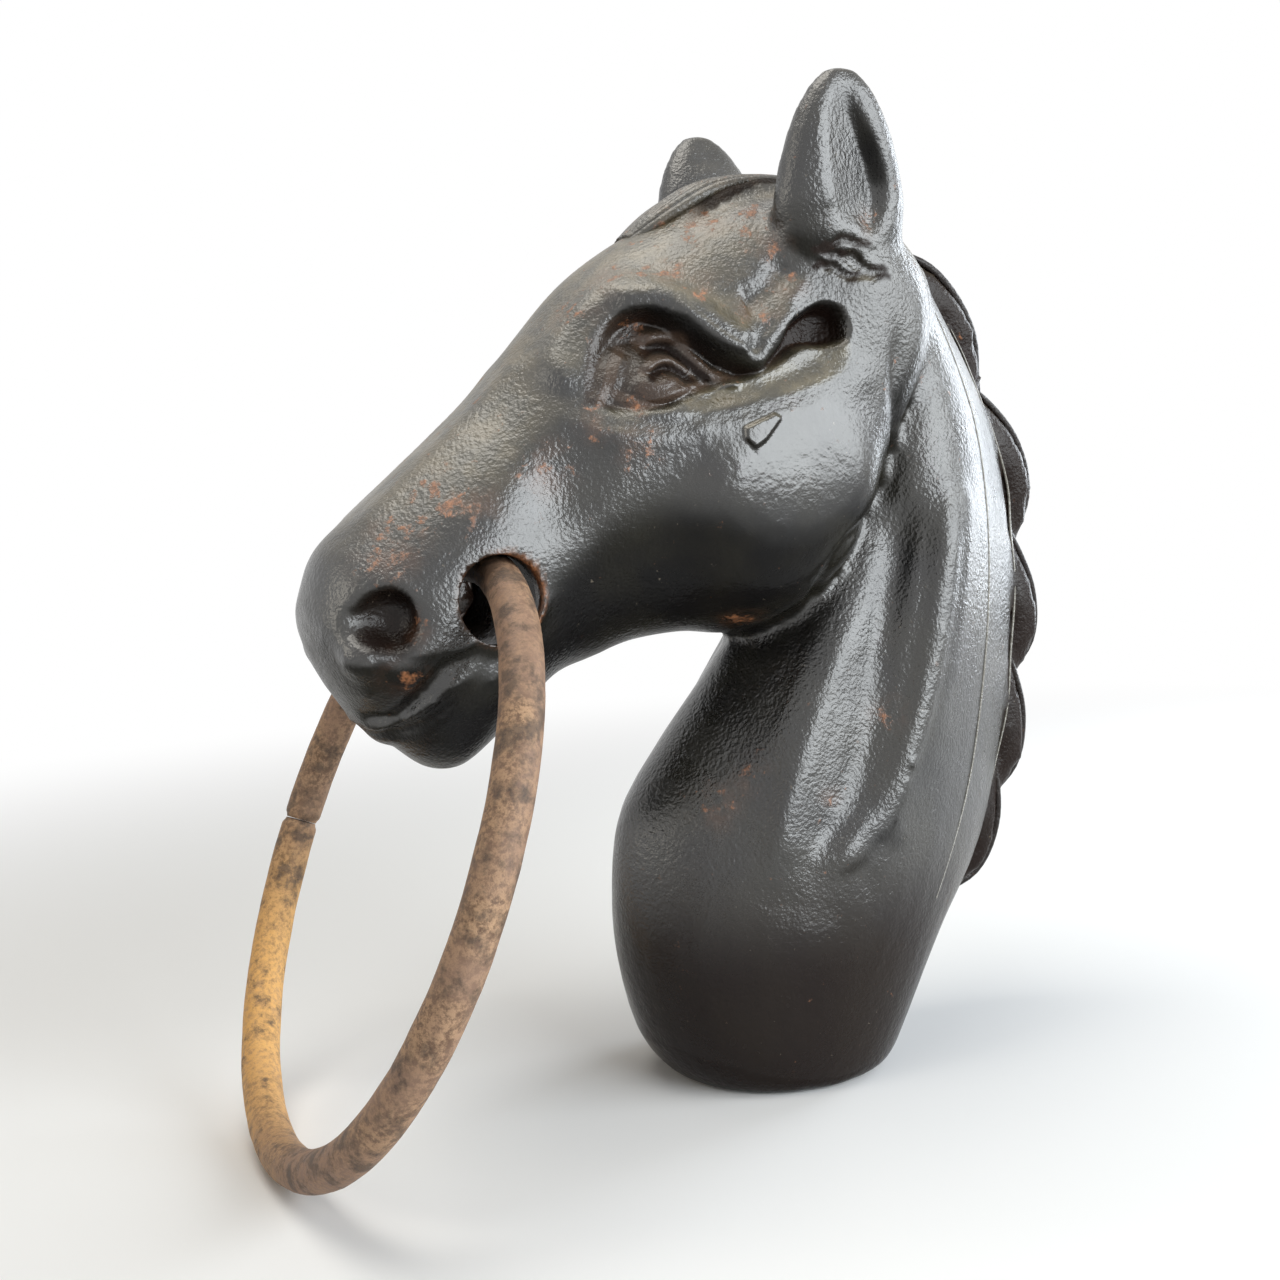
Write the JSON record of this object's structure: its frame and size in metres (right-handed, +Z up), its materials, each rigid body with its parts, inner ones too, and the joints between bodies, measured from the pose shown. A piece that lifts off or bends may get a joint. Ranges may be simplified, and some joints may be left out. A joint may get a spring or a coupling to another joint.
{
  "type": "hitching post head",
  "caption": "Horse-head top for a hitching post: a cored iron casting with a post socket in its neck and a loose split ring through the muzzle for tying reins.",
  "frame": {"origin": "centre of the neck's foot, at the mouth of the post socket", "axes": "+Z up along the post; the nose points to -X; the horse's left side faces -Y and the mane falls on +Y"},
  "size_m": [0.2253, 0.15, 0.2415],
  "materials": {
    "cast_iron": "oiled black-brown, rust-flecked",
    "rusted_bar": "rusted"
  },
  "bodies": {
    "head": {"head_casting": "cast_iron"},
    "ring": {"hitching_ring": "rusted_bar"}
  },
  "joints": [
    {"name": "ring_swing", "type": "hinge", "parent": "head", "child": "ring", "pos_m": [-0.0775, 0, 0.1265], "axis": [0, 1, 0], "range_deg": [-40, 190]}
  ]
}
